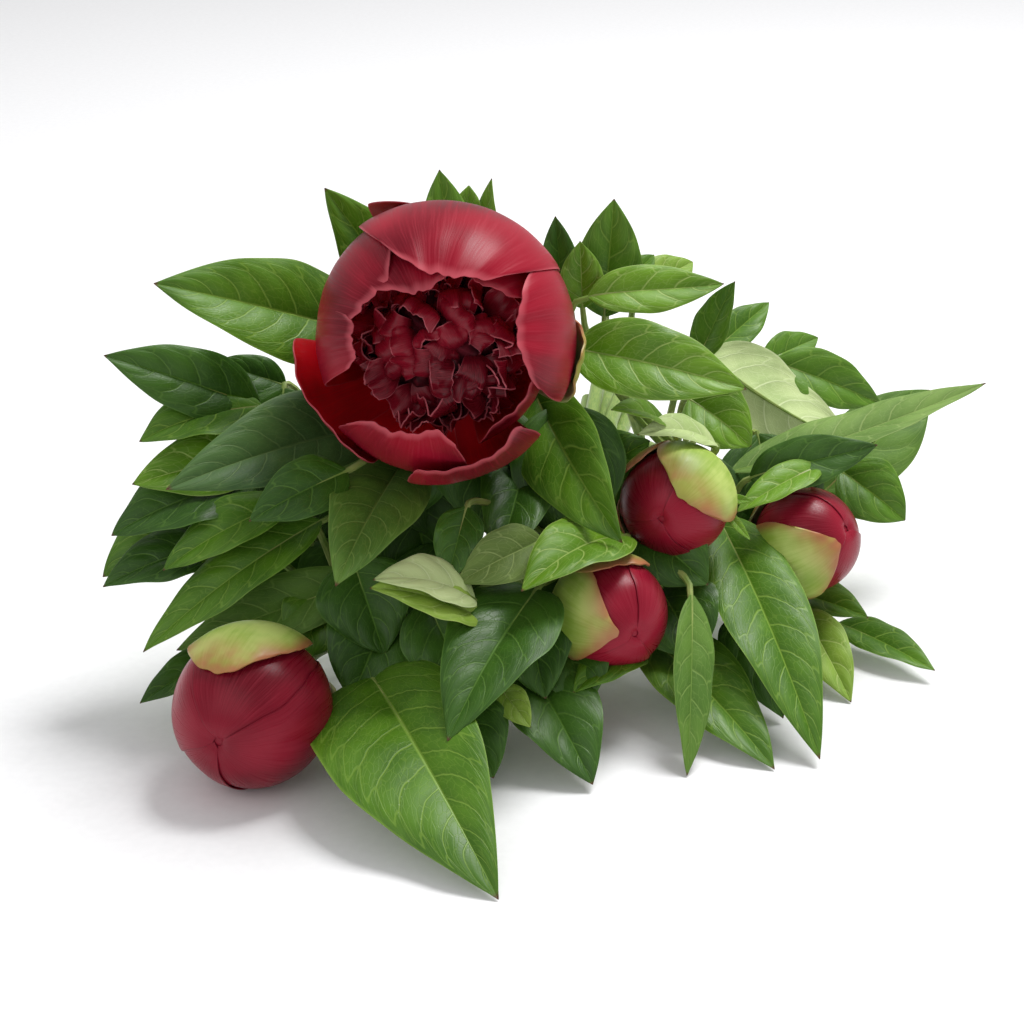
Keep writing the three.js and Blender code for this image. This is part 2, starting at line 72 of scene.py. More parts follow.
def merged(node):
    """A node's points, each once, and for each point the points that it shares a face with."""
    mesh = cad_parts[node].data
    raw = np.array([v.co[:] for v in mesh.vertices])
    keys, index = np.unique(np.round(raw * 1e6).astype(np.int64), axis=0, return_inverse=True)
    index = index.reshape(-1)
    links = [set() for _ in keys]
    for polygon in mesh.polygons:
        corners = [int(index[v]) for v in polygon.vertices]
        for corner in corners:
            links[corner].update(corners)
    return keys / 1e6, links


def rings(node, size, near=None):
    """A lofted node's rings of points, starting with its tightest ring, or the one nearest to a point."""
    points, links = merged(node)
    if near is None:
        gaps = np.linalg.norm(points[:, None] - points[None], axis=2)
        seed = int(np.argmin(np.sort(gaps, axis=1)[:, size - 1]))
        near = points[np.argsort(gaps[seed])[:size]].mean(0)
    row = set(np.argsort(np.linalg.norm(points - near, axis=1))[:size].tolist())
    found, seen = [], set()
    while row:
        found.append(points[sorted(row)])
        seen |= row
        row = set().union(*(links[k] for k in row)) - seen
    return found


def rims_and_middle(ring):
    gaps = np.linalg.norm(ring[:, None] - ring[None], axis=2)
    a, b = np.unravel_index(np.argmax(gaps), gaps.shape)
    rest = np.delete(ring, [a, b], axis=0)
    order = np.argsort(rest @ unit(ring[b] - ring[a]))
    half = len(rest) // 2
    return ring[a], ring[b], rest[order[half - 1:half + 1]].mean(0)


def sphere(points):
    """The centre and radius of the sphere that best fits the points."""
    a = np.column_stack([2 * points, np.ones(len(points))])
    x = np.linalg.lstsq(a, (points ** 2).sum(1), rcond=None)[0]
    return x[:3], math.sqrt(x[3] + x[:3] @ x[:3])


class Head:
    """The bloom or a bud: its centre, its radius, the way it faces and the two directions across it."""

    def __init__(self, name, ball, share):
        points = merged(ball)[0]
        self.centre, radius = sphere(points)
        self.radius = radius / share
        self.line = stem_line(f"{name}_stem", self.centre)
        self.faces = unit(self.centre - self.line[0])
        self.right = unit(np.cross([0, 0, 1], self.faces))
        self.up = np.cross(self.faces, self.right)

    def at(self, angle, bearing, share):
        """Points at angles from the foot (0) to the crown (180 degrees), at bearings round the axis."""
        angle, bearing = np.radians(angle), np.radians(bearing)
        way = (self.right * (np.sin(angle) * np.cos(bearing))[..., None]
               + self.up * (np.sin(angle) * np.sin(bearing))[..., None]
               - self.faces * np.cos(angle)[..., None])
        return self.centre + way * (self.radius * share)[..., None]


def stem_line(node, top):
    """A stem's middle line, from under its head to its cut end."""
    return np.array([ring.mean(0) for ring in rings(node, 8, near=top)])


BLOOM_PETAL_SHARE = 1.02  # share of the bloom's radius at which petal_top lies
heads = {"bloom": Head("bloom", "petal_top", BLOOM_PETAL_SHARE)}
for bud in ("bud_front", "bud_high", "bud_low", "bud_right"):
    heads[bud] = Head(bud, bud, 1)
bloom = heads["bloom"]


# ---- node materials ----------------------------------------------------------
class Finish:
    """A node material in the making. Constant values go on the shader's own sockets."""

    def __init__(self, name, **constants):
        self.material = bpy.data.materials.new(name)
        self.material.use_nodes = True
        self.tree = self.material.node_tree
        self.shader = self.tree.nodes["Principled BSDF"]
        for key, value in constants.items():
            self.shader.inputs[key.replace("_", " ")].default_value = value

    def put(self, socket, value):
        if isinstance(value, bpy.types.NodeSocket):
            self.tree.links.new(value, socket)
        else:
            socket.default_value = value

    def node(self, kind, inputs=(), **settings):
        node = self.tree.nodes.new(kind)
        for key, value in settings.items():
            setattr(node, key, value)
        for key, value in dict(inputs).items():
            self.put(node.inputs[key], value)
        return node

    def math(self, operation, a, b=0.0, c=0.0):
        return self.node("ShaderNodeMath", {0: a, 1: b, 2: c}, operation=operation).outputs[0]

    def ease(self, value, low, high, to_low=0.0, to_high=1.0):
        """Goes smoothly from to_low to to_high as value goes from low to high."""
        inputs = {0: value, 1: low, 2: high, 3: to_low, 4: to_high}
        return self.node("ShaderNodeMapRange", inputs, interpolation_type="SMOOTHSTEP").outputs[0]

    def mix(self, share, a, b):
        colour = [v if isinstance(v, bpy.types.NodeSocket) else (*v, 1) for v in (a, b)]
        inputs = {0: share, 6: colour[0], 7: colour[1]}
        return self.node("ShaderNodeMix", inputs, data_type="RGBA").outputs[2]

    def uv(self, name):
        """The two numbers of a UV map."""
        place = self.node("ShaderNodeUVMap", uv_map=name).outputs[0]
        parts = self.node("ShaderNodeSeparateXYZ", {0: place}).outputs
        return parts[0], parts[1]

    def vector(self, x, y, z=0.0):
        return self.node("ShaderNodeCombineXYZ", {0: x, 1: y, 2: z}).outputs[0]

    def space(self):
        return self.node("ShaderNodeTexCoord").outputs["Object"]

    def noise(self, vector, scale, detail=2.0, roughness=0.5):
        inputs = {"Vector": vector, "Scale": scale, "Detail": detail, "Roughness": roughness}
        return self.node("ShaderNodeTexNoise", inputs).outputs[0]

    def cracks(self, vector, scale):
        """Distance to the nearest edge of a net of cells."""
        inputs = {"Vector": vector, "Scale": scale}
        return self.node("ShaderNodeTexVoronoi", inputs, feature="DISTANCE_TO_EDGE").outputs["Distance"]

    def done(self, colour, roughness, height=None, depth=0.0003, strength=0.4):
        self.put(self.shader.inputs["Base Color"], colour)
        self.put(self.shader.inputs["Roughness"], roughness)
        if height is not None:
            inputs = {"Strength": strength, "Distance": depth, "Height": height}
            bump = self.node("ShaderNodeBump", inputs).outputs[0]
            self.put(self.shader.inputs["Normal"], bump)
        return self.material


VEIN_STRENGTH = 0.72


def leaf_finish(name, dark, light, vein, roughness, under=False):
    """One side of a leaf: midrib, side veins that arch and join short of the margin, and a fine net."""
    f = Finish(name, Specular_IOR_Level=0.18 if under else 0.3)
    across, along = f.uv("blade")
    phase, spread = f.uv("veins")
    space = f.space()
    side = f.math("GREATER_THAN", across, 0.5)
    shift = f.math("MULTIPLY", f.math("SUBTRACT", f.noise(space, 110, 1), 0.5), 0.3)
    phase = f.math("ADD", f.math("MULTIPLY_ADD", side, 0.5, phase), shift)
    out = f.math("ABSOLUTE", f.math("MULTIPLY_ADD", across, 2, -1))
    gap = f.math("ABSOLUTE", f.math("SUBTRACT", f.math("FRACT", phase), 0.5))
    fading = f.ease(out, 0.55, 0.88, 0.85, 0)
    line = f.math("MULTIPLY", f.ease(gap, 0.012, 0.05, 1, 0), fading)
    turn = f.math("COSINE", f.math("MULTIPLY", phase, 2 * math.pi))
    loop = f.math("ABSOLUTE", f.math("SUBTRACT", out, f.math("MULTIPLY_ADD", turn, 0.1, 0.76)))
    loops = f.ease(loop, 0.008, 0.035, 0.55, 0)
    rib = f.ease(out, 0.012, 0.035, 1, 0)
    cells = f.vector(f.math("MULTIPLY", phase, 1.3), f.math("MULTIPLY", spread, 1.6))
    net = f.ease(f.cracks(cells, 3.2), 0.0, 0.07, 0.3, 0)
    mask = f.math("MAXIMUM", f.math("MAXIMUM", line, loops), f.math("MAXIMUM", rib, net))
    mask = f.math("MULTIPLY", mask, VEIN_STRENGTH)
    tone = f.ease(f.noise(space, 38, 3), 0.35, 0.65)
    blade = f.mix(tone, dark, light)
    # Painted shade: the blade is darker in broad bands along the side veins, for the shade in the sunken
    # vein grooves.
    blade = f.mix(f.ease(gap, 0.0, 0.3, 0.3, 0), blade, tuple(0.7 * c for c in dark))
    colour = f.mix(mask, blade, vein)
    colour = f.mix(f.ease(out, 0.95, 1.0, 0, 0.55), colour, vein)
    colour = f.mix(f.ease(along, 0.975, 0.995), colour, (0.09, 0.04, 0.015))
    grain = f.math("MULTIPLY", f.noise(space, 1400, 2), 0.25)
    height = f.math("ADD", grain, f.math("MULTIPLY", mask, 1.0 if under else -1.0))
    gloss = f.ease(f.noise(space, 60, 2), 0.3, 0.7, roughness - 0.06, roughness + 0.08)
    return f.done(colour, gloss, height, 0.0003, 0.45)


VEIN_GREEN = (0.34, 0.46, 0.12)
# deep and bright are partly the leaves' own greens and partly shaded and lit copies of mid: painted shade
# on leaves that lie in shade, painted light on leaves that catch the light.
LEAF_TONES = {  # darker green, lighter green, veins, roughness
    "deep": ((0.026, 0.080, 0.006), (0.046, 0.125, 0.010), (0.10, 0.21, 0.030), 0.42),
    "mid": ((0.052, 0.140, 0.006), (0.088, 0.205, 0.010), (0.22, 0.36, 0.05), 0.44),
    "blue": ((0.036, 0.090, 0.022), (0.060, 0.130, 0.030), (0.12, 0.20, 0.06), 0.48),
    "bright": ((0.078, 0.185, 0.006), (0.130, 0.270, 0.010), VEIN_GREEN, 0.42),
    "light": ((0.18, 0.31, 0.03), (0.28, 0.42, 0.055), (0.42, 0.54, 0.15), 0.5),
    "pale": ((0.36, 0.48, 0.17), (0.50, 0.60, 0.27), (0.60, 0.68, 0.37), 0.6),
    "olive": ((0.10, 0.16, 0.03), (0.16, 0.24, 0.05), (0.27, 0.35, 0.11), 0.55),
    "matte": ((0.068, 0.155, 0.016), (0.105, 0.21, 0.026), (0.21, 0.33, 0.07), 0.6),
    "grey": ((0.12, 0.22, 0.04), (0.19, 0.31, 0.07), (0.30, 0.41, 0.13), 0.6),
}
leaf_materials = {
    tone: leaf_finish(f"leaf_{tone}", *colours) for tone, colours in LEAF_TONES.items()
}
leaf_under = leaf_finish("leaf_underside", (0.13, 0.22, 0.07), (0.2, 0.31, 0.11), (0.33, 0.44, 0.19),
                         0.62, under=True)
leaf_under_pale = leaf_finish("leaf_underside_pale", (0.36, 0.47, 0.19), (0.5, 0.6, 0.28),
                              (0.62, 0.7, 0.4), 0.62, under=True)


def petiole_finish():
    f = Finish("petiole", Specular_IOR_Level=0.4)
    space = f.space()
    streak = f.noise(space, 160, 3)
    colour = f.mix(f.ease(streak, 0.35, 0.7), (0.17, 0.27, 0.05), (0.3, 0.36, 0.1))
    colour = f.mix(f.ease(f.noise(space, 45, 2), 0.55, 0.75, 0, 0.5), colour, (0.24, 0.09, 0.05))
    return f.done(colour, f.ease(streak, 0.3, 0.7, 0.4, 0.55), streak, 0.0003, 0.3)


petiole_material = petiole_finish()


def petal_finish(name, deep, mid, high, rim, roughness, gloss, streak):
    """A petal face: fine streaks from foot to rim, a broad drift of colour, a darker foot and a thin paler
    rim that is partly painted highlight.
    """
    f = Finish(name, Specular_IOR_Level=gloss)
    across, along = f.uv("blade")
    space = f.space()
    wave = f.math("MULTIPLY", f.noise(space, 60, 2), 0.05)
    fan = f.vector(f.math("ADD", across, wave), f.math("MULTIPLY", along, 0.05))
    streaks = f.noise(fan, 70, 4, 0.65)
    drift = f.noise(space, 26, 2)
    colour = f.mix(f.ease(drift, 0.36, 0.64), deep, mid)
    colour = f.mix(f.ease(streaks, 0.42, 0.72, 0, streak), colour, high)
    # Darker towards the foot. On the inner faces this is painted light and shade: the outer part glows with
    # light shining through the petal, and the foot lies in shade at the bottom of the cup.
    colour = f.mix(f.ease(along, 0.0, 0.5, 0.5, 0), colour, deep)
    # A thin band of the rim colour along the edges: on the bloom's petals and petaloids, a paler edge that
    # is partly the petal's own and partly a painted highlight; on the buds, a dark line along the seams.
    out = f.math("ABSOLUTE", f.math("MULTIPLY_ADD", across, 2, -1))
    edge = f.math("MAXIMUM", f.ease(along, 0.962, 1.0, 0, 0.75), f.ease(out, 0.965, 1.0, 0, 0.6))
    colour = f.mix(edge, colour, rim)
    rough = f.ease(streaks, 0.3, 0.7, roughness - 0.05, roughness + 0.07)
    return f.done(colour, rough, streaks, 0.0003, 0.2)


petal_outside = petal_finish("petal_outside", (0.12, 0.002, 0.009), (0.30, 0.006, 0.021),
                             (0.40, 0.030, 0.052), (0.52, 0.09, 0.115), 0.36, 0.15, 0.34)
# Painted light: the inner faces' red is far brighter than the outer faces' red, to stand for light shining
# through the petals into the cup.
petal_inside = petal_finish("petal_inside", (0.44, 0.0008, 0.007), (0.80, 0.0018, 0.014),
                            (0.82, 0.008, 0.02), (0.62, 0.07, 0.09), 0.45, 0.2, 0.4)
heart_material = petal_finish("petaloid", (0.08, 0.001, 0.006), (0.22, 0.004, 0.016),
                              (0.34, 0.022, 0.038), (0.58, 0.14, 0.17), 0.3, 0.25, 0.6)
bud_material = petal_finish("bud_petal", (0.13, 0.002, 0.010), (0.29, 0.008, 0.026),
                            (0.38, 0.034, 0.058), (0.12, 0.003, 0.010), 0.3, 0.18, 0.3)


def heart_base_finish():
    f = Finish("heart_base", Specular_IOR_Level=0.3)
    folds = f.noise(f.space(), 220, 4)
    # Painted shade: a near-black red, darkest in the hollows of its folds, for the shade deep between the
    # petaloids.
    colour = f.mix(f.ease(folds, 0.35, 0.7), (0.03, 0.001, 0.004), (0.11, 0.004, 0.012))
    return f.done(colour, f.ease(folds, 0.3, 0.7, 0.5, 0.65), folds, 0.001, 0.6)


heart_base_material = heart_base_finish()


def sepal_finish(name, lime, pale, blush, inside=False):
    f = Finish(name, Specular_IOR_Level=0.4)
    across, along = f.uv("blade")
    space = f.space()
    fan = f.vector(across, f.math("MULTIPLY", along, 0.06))
    streaks = f.noise(fan, 42, 3, 0.6)
    cloud = f.math("MULTIPLY_ADD", f.noise(space, 60, 3), 0.75, f.math("MULTIPLY", streaks, 0.25))
    colour = f.mix(f.ease(cloud, 0.38, 0.62), lime, pale)
    out = f.math("ABSOLUTE", f.math("MULTIPLY_ADD", across, 2, -1))
    reach = f.math("MAXIMUM", f.ease(along, 0.68, 1.0), f.ease(out, 0.7, 1.0))
    patchy = f.math("MULTIPLY", reach, f.ease(f.noise(space, 70, 3), 0.32, 0.55, 0.4, 1))
    colour = f.mix(f.math("MULTIPLY", patchy, 0.25 if inside else 0.85), colour, blush)
    return f.done(colour, f.ease(streaks, 0.3, 0.7, 0.36, 0.48), streaks, 0.0003, 0.12)


sepal_outside = sepal_finish("sepal_outside", (0.27, 0.41, 0.05), (0.47, 0.57, 0.15),
                             (0.40, 0.085, 0.055))
sepal_inside = sepal_finish("sepal_inside", (0.42, 0.5, 0.18), (0.55, 0.62, 0.3), (0.4, 0.2, 0.1), True)


def stem_finish():
    """Green with lengthwise ridges, a red flush in patches along it and fine pale flecks."""
    f = Finish("stem_skin", Specular_IOR_Level=0.42)
    across, along = f.uv("blade")
    space = f.space()
    ridge = f.noise(f.vector(f.math("MULTIPLY", across, 9), f.math("MULTIPLY", along, 0.5)), 3.2, 3)
    colour = f.mix(f.ease(ridge, 0.35, 0.65), (0.13, 0.23, 0.035), (0.24, 0.33, 0.08))
    flush = f.math("MULTIPLY", f.ease(f.noise(space, 22, 2), 0.5, 0.7), 0.55)
    colour = f.mix(flush, colour, (0.22, 0.08, 0.04))
    colour = f.mix(f.ease(f.cracks(space, 420), 0.0, 0.035, 0.25, 0), colour, (0.4, 0.45, 0.22))
    return f.done(colour, f.ease(ridge, 0.3, 0.7, 0.4, 0.55), ridge, 0.0005, 0.35)


def cut_finish():
    """A cut end: a pale wet pith inside a greener ring, with rows of vessels."""
    f = Finish("stem_cut", Specular_IOR_Level=0.5)
    _, along = f.uv("blade")
    space = f.space()
    colour = f.mix(f.ease(along, 0.55, 0.9), (0.62, 0.66, 0.42), (0.3, 0.4, 0.12))
    colour = f.mix(f.ease(f.noise(space, 1500, 2), 0.5, 0.62, 0, 0.5), colour, (0.34, 0.3, 0.14))
    gloss = f.ease(f.noise(space, 800, 2), 0.3, 0.7, 0.3, 0.5)
    return f.done(colour, gloss, f.noise(space, 1500, 2), 0.0003)


def twine_finish():
    f = Finish("twine", Specular_IOR_Level=0.2, Sheen_Weight=0.3)
    across, along = f.uv("blade")
    fibre = f.noise(f.vector(f.math("MULTIPLY", across, 6), f.math("MULTIPLY", along, 40)), 4, 4, 0.7)
    colour = f.mix(f.ease(fibre, 0.3, 0.7), (0.34, 0.23, 0.12), (0.62, 0.48, 0.30))
    return f.done(colour, f.ease(fibre, 0.3, 0.7, 0.8, 0.95), fibre, 0.0004, 0.6)


stem_material = stem_finish()
cut_material = cut_finish()
twine_material = twine_finish()


# ---- meshes ------------------------------------------------------------------
class Piece:
    """Gathers sheets and tubes into one mesh object that rides on the bunch."""

    def __init__(self, name, slot, *nodes):
        self.name, self.slot, self.nodes = name, slot, nodes
        self.points, self.faces, self.kinds, self.blade, self.veins = [], [], [], [], []
        self.materials = []
        self.count = 0

    def material(self, material):
        if material not in self.materials:
            self.materials.append(material)
        return self.materials.index(material)

    def add(self, points, faces, kind, blade, veins=None):
        """kind is a material, or one material for each face."""
        self.points.append(points)
        self.faces += [[v + self.count for v in face] for face in faces]
        kinds = kind if isinstance(kind, list) else [kind] * len(faces)
        self.kinds += [self.material(k) for k in kinds]
        self.blade.append(blade)
        self.veins.append(blade if veins is None else veins)
        self.count += len(points)

    def sheet(self, grid, thickness, upper, lower, blade, veins=None):
        """A closed thin sheet over a grid of points; upper faces the way that across x along points."""
        rows, columns = grid.shape[:2]
        normal = unit(np.cross(np.gradient(grid, axis=1), np.gradient(grid, axis=0)))
        half = normal * (thickness / 2)[..., None]
        points = np.concatenate([(grid + half).reshape(-1, 3), (grid - half).reshape(-1, 3)])
        ids = np.arange(rows * columns).reshape(rows, columns)
        top = np.stack([ids[:-1, :-1], ids[:-1, 1:], ids[1:, 1:], ids[1:, :-1]], -1).reshape(-1, 4)
        base = top[:, ::-1] + rows * columns
        loop = np.concatenate([ids[0], ids[1:, -1], ids[-1, -2::-1], ids[-2:0:-1, 0]])
        after = np.roll(loop, -1)
        rim = np.stack([after, loop, loop + rows * columns, after + rows * columns], -1)
        faces = np.concatenate([top, base, rim]).tolist()
        kinds = [upper] * len(top) + [lower] * len(base) + [upper] * len(rim)
        flat = blade.reshape(-1, 2)
        lines = flat if veins is None else veins.reshape(-1, 2)
        self.add(points, faces, kinds, np.tile(flat, (2, 1)), np.tile(lines, (2, 1)))

    def skin(self, rings, material, blade):
        """A closed skin over a grid of points whose rows are rings, with a flat face at each end."""
        ids = np.arange(rings.shape[0] * rings.shape[1]).reshape(rings.shape[:2])
        turn = np.roll(ids, -1, axis=1)
        faces = np.stack([ids[:-1], turn[:-1], turn[1:], ids[1:]], -1).reshape(-1, 4).tolist()
        faces += [ids[0, ::-1].tolist(), ids[-1].tolist()]
        self.add(rings.reshape(-1, 3), faces, material, blade.reshape(-1, 2))

    def tube(self, line, radius, material, sides=8, cap=None, shape=None):
        """A closed tube along a line of points, with a radius at each; cap closes its last end."""
        line = np.asarray(line)
        count = len(line)
        radius = np.broadcast_to(radius, count)
        tangent = unit(np.gradient(line, axis=0))
        side = unit(np.cross(tangent[0], [0.31, 0.2, 0.93]))
        turned = []
        for way in tangent:
            side = unit(side - way * (side @ way))
            turned.append(side)
        side = np.array(turned)
        other = np.cross(tangent, side)
        angle = np.linspace(0, 2 * np.pi, sides, endpoint=False)
        swell = np.ones((count, sides)) if shape is None else shape
        reach = (radius[:, None] * swell)[..., None]
        body = line[:, None] + reach * (side[:, None] * np.cos(angle)[None, :, None]
                                        + other[:, None] * np.sin(angle)[None, :, None])
        points = np.concatenate([body.reshape(-1, 3), line[:1], line[-1:]])
        ids = np.arange(count * sides).reshape(count, sides)
        turn = np.roll(ids, -1, axis=1)
        faces = np.stack([ids[:-1], turn[:-1], turn[1:], ids[1:]], -1).reshape(-1, 4).tolist()
        kinds = [material] * len(faces)
        first, last = count * sides, count * sides + 1
        faces += [[first, int(turn[0, k]), int(ids[0, k])] for k in range(sides)]
        faces += [[last, int(ids[-1, k]), int(turn[-1, k])] for k in range(sides)]
        kinds += [material] * sides + [cap or material] * sides
        run = np.concatenate([[0], np.cumsum(np.linalg.norm(np.diff(line, axis=0), axis=1))]) * 100
        place = np.stack(np.broadcast_arrays(np.abs(angle / np.pi - 1)[None], run[:, None]), -1)
        flat = np.concatenate([place.reshape(-1, 2), [[0.5, 0], [0.5, 0]]])
        self.add(points, faces, kinds, flat)

    def finish(self):
        mesh = bpy.data.meshes.new(self.name)
        mesh.from_pydata(np.concatenate(self.points).tolist(), [], self.faces)
        corners = np.zeros(len(mesh.loops), np.int32)
        mesh.loops.foreach_get("vertex_index", corners)
        for layer, values in (("blade", self.blade), ("veins", self.veins)):
            uv = mesh.uv_layers.new(name=layer)
            uv.data.foreach_set("uv", np.concatenate(values)[corners].astype(np.float32).ravel())
        for material in self.materials:
            mesh.materials.append(material)
        mesh.polygons.foreach_set("material_index", self.kinds)
        mesh.polygons.foreach_set("use_smooth", [True] * len(self.kinds))
        mesh.set_sharp_from_angle(angle=math.radians(50))
        mesh.validate()
        piece = bpy.data.objects.new(self.name, mesh)
        bpy.context.scene.collection.objects.link(piece)
        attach(piece, "root")
        if self.nodes:
            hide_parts(*self.nodes)


def smooth_line(points, count):
    """Points evenly spaced on a smooth curve through the given points."""
    points = np.asarray(points)
    ends = np.concatenate([[2 * points[0] - points[1]], points, [2 * points[-1] - points[-2]]])
    t = np.linspace(0, len(points) - 1.0001, count)
    k = t.astype(int)
    s = (t - k)[:, None]
    a, b, c, d = ends[k], ends[k + 1], ends[k + 2], ends[k + 3]
    return 0.5 * (2 * b + (c - a) * s + (2 * a - 5 * b + 4 * c - d) * s ** 2
                  + (3 * b - a - 3 * c + d) * s ** 3)


def bezier(control, t):
    """Points on the cubic curve with four control points."""
    p, t = np.asarray(control), np.asarray(t)[:, None]
    return ((1 - t) ** 3 * p[0] + 3 * t * (1 - t) ** 2 * p[1]
            + 3 * t ** 2 * (1 - t) * p[2] + t ** 3 * p[3])


# ---- leaves ------------------------------------------------------------------
# Where the CAD's rings lie along a blade, from its tip.
BLADE_STATIONS = [1, 0.88, 0.7, 0.5, 0.3, 0.12, 0]
FOOTING = 6.2 * MM  # from a stem's middle to the foot of a petiole in the CAD
LEAF_ROWS, LEAF_COLUMNS = 44, 21
LEAF_THICKNESS = 0.35 * MM


class Leaf:
    """A leaf's midrib as a cubic curve, the way its upper side faces, its half width and its petiole."""

    def __init__(self, midrib, upward, half, petiole):
        self.midrib, self.upward, self.half, self.petiole = midrib, upward, half, petiole


def leaf_of(node):
    parts = [rims_and_middle(ring) for ring in rings(node, 8)]
    middle = np.array([part[2] for part in parts])
    start, tip = middle[6], middle[0]
    t = np.array(BLADE_STATIONS[1:6])[:, None]
    known = middle[1:6] - (1 - t) ** 3 * start - t ** 3 * tip
    inner = np.linalg.lstsq(np.hstack([3 * t * (1 - t) ** 2, 3 * t ** 2 * (1 - t)]), known, rcond=None)[0]
    chord = unit(tip - start)
    rise = sum((a + b) / 2 - m for a, b, m in parts[2:5])
    upward = unit(rise - chord * (rise @ chord))
    half = max(np.linalg.norm(b - a) for a, b, _ in parts[1:6]) / 2 / 0.97
    foot, halfway = middle[8], middle[7]
    bend = 2 * halfway - 0.5 * (foot + start)
    joint = foot - FOOTING * unit(start - foot)
    return Leaf(np.array([start, inner[0], inner[1], tip]), upward, half, [joint, foot, bend, start])


def leaf_between(stem, start, tip, width, arch, facing):
    """A leaf laid out from its ends, with a petiole from the nearest part of a stem."""
    chord = tip - start
    sideways = unit(np.cross(chord, facing))
    upward = unit(np.cross(sideways, chord))
    at = [start + chord * share + upward * (rise * MM * 4 / 3)
          for share, rise in zip((1 / 3, 2 / 3), arch)]
    line = stem[:12]
    nearest = int(np.argmin(np.linalg.norm(line - start, axis=1)))
    joint = line[min(nearest + 2, len(line) - 1)]
    bend = start - unit(at[0] - start) * 0.12 * np.linalg.norm(start - joint)
    petiole = [joint, (joint + bend) / 2, bend, start]
    return Leaf(np.array([start, at[0], at[1], tip]), upward, width / 2 * MM, petiole)


def add_leaf(piece, leaf, tone, base=0.66, left=1.0):
    """The blade with its raised or sunken veins, and the petiole that runs on as its midrib.

    A lower base brings the widest part nearer the petiole; left widens the half where u is positive.
    """
    wave = random.uniform(0, 2 * math.pi, 6)
    t = np.linspace(0, 1, LEAF_ROWS)
    middle = bezier(leaf.midrib, t)
    length = np.linalg.norm(np.diff(middle, axis=0), axis=1).sum()
    along = unit(np.gradient(middle, axis=0))
    across = unit(np.cross(along, leaf.upward))
    normal = np.cross(across, along)
    widest = base / (base + 1)
    outline = (t / widest) ** base * ((1 - t) / (1 - widest))
    width = np.maximum(leaf.half * outline, np.where(t < 0.5, 1.0, 0.12) * MM)
    u = np.linspace(-1, 1, LEAF_COLUMNS)
    u = np.sign(u) * np.abs(u) ** 0.9
    s = np.abs(u)
    # side veins leave the midrib at a slant and curve towards the tip
    slant = 0.9 * leaf.half / length
    sides = max(4, round(length / (11 * MM)))
    phase = sides * (t[:, None] - slant * (s ** 1.15 * (1 + 0.5 * s ** 3))[None])
    gap = np.abs((phase + 0.5 * (u > 0)[None]) % 1 - 0.5)
    quilt = 1 - np.exp(-(gap / 0.16) ** 1.6)
    groove = 1 - np.exp(-(s[None] * width[:, None] / (1.3 * MM)) ** 2)
    ends = np.clip(np.sin(np.pi * t), 0, 1)[:, None] ** 0.4
    relief = 0.62 * MM * min(1, leaf.half / (14 * MM)) * quilt * groove * ends * (1 - s[None] ** 4)
    # each half rises from the midrib and rolls over towards its margin, which waves a little
    fold = width[:, None] * (0.44 * s - 0.24 * s ** 2.4)[None]
    swing = np.where(u < 0, 0, 2.1)
    sway = np.sin(2 * np.pi * (1.6 * t[:, None] + wave[0] + swing[None])) * 0.05
    sway += np.sin(2 * np.pi * (3.7 * t[:, None] + wave[1] + 2 * swing[None])) * 0.025
    ripple = leaf.half * sway * s[None] ** 2.5 * ends
    twist = 0.10 * math.sin(wave[2]) * (u[None] * width[:, None]) * t[:, None]
    edge = 1 + 0.02 * np.sin(2 * np.pi * (2.3 * t[:, None] + wave[3] + swing[None])) * s[None] ** 2
    edge = edge * np.where(u > 0, left, 1.0)[None]
    lift = relief + fold + ripple + twist
    bend_in = 1 - 0.06 * s[None] ** 2
    grid = (middle[:, None] + across[:, None] * (u[None] * width[:, None] * bend_in * edge)[..., None]
            + normal[:, None] * lift[..., None])
    thick = np.full((LEAF_ROWS, LEAF_COLUMNS), LEAF_THICKNESS)
    thick[:, [0, -1]] = 0.14 * MM
    thick[-1] = 0.12 * MM
    grid[..., 2] = np.maximum(grid[..., 2], 0.5 * MM)
    blade = np.stack(np.broadcast_arrays(u[None] / 2 + 0.5, t[:, None]), -1)
    veins = np.stack([phase, u[None] * width[:, None] * 100], -1)
    top = leaf_materials[tone]
    under = leaf_under_pale if tone in ("light", "pale") else leaf_under
    piece.sheet(grid, thick, top, under, blade, veins)
    # petiole and midrib
    joint, foot, bend, start = leaf.petiole
    neck = bezier([joint, foot, bend, start], np.linspace(0, 1, 14))
    rib = (middle - normal * 0.45 * MM)[2:-3:3]
    line = np.concatenate([neck[:-1], rib])
    size = np.concatenate([np.linspace(1.5, 1.15, len(neck) - 1), np.linspace(0.95, 0.22, len(rib))]) * MM
    line[:, 2] = np.maximum(line[:, 2], size + 0.2 * MM)
    piece.tube(line, size, petiole_material, sides=7)


TONES = {
    "leaf_bloom_front": "mid", "leaf_front_big": "mid", "leaf_high_over": "mid", "leaf_bloom_left": "mid",
    "leaf_bloom_low_left": "blue", "leaf_bloom_right": "bright", "leaf_low_wide": "deep",
    "leaf_low_bright": "bright", "leaf_bloom_drop": "deep", "leaf_bloom_drop_left": "matte",
    "leaf_bloom_crown_left": "mid", "leaf_bloom_crown": "mid", "leaf_bloom_crown_right": "bright",
    "leaf_bloom_shoulder": "deep", "leaf_high_crown": "mid", "leaf_high_small": "bright",
    "leaf_high_level": "bright", "leaf_high_narrow": "mid", "leaf_high_pale": "pale",
    "leaf_right_long": "grey", "leaf_right_dark": "deep", "leaf_right_light": "light",
    "leaf_right_under": "mid", "leaf_right_low": "mid", "leaf_right_upper": "mid",
    "leaf_right_back": "matte", "leaf_back_left": "mid", "leaf_back_right": "mid", "leaf_low_right": "mid",
    "leaf_low_folded": "matte", "leaf_low_middle": "deep", "leaf_front_left": "mid",
    "leaf_front_pale": "matte", "leaf_left_high": "deep", "leaf_left_wide": "mid",
}
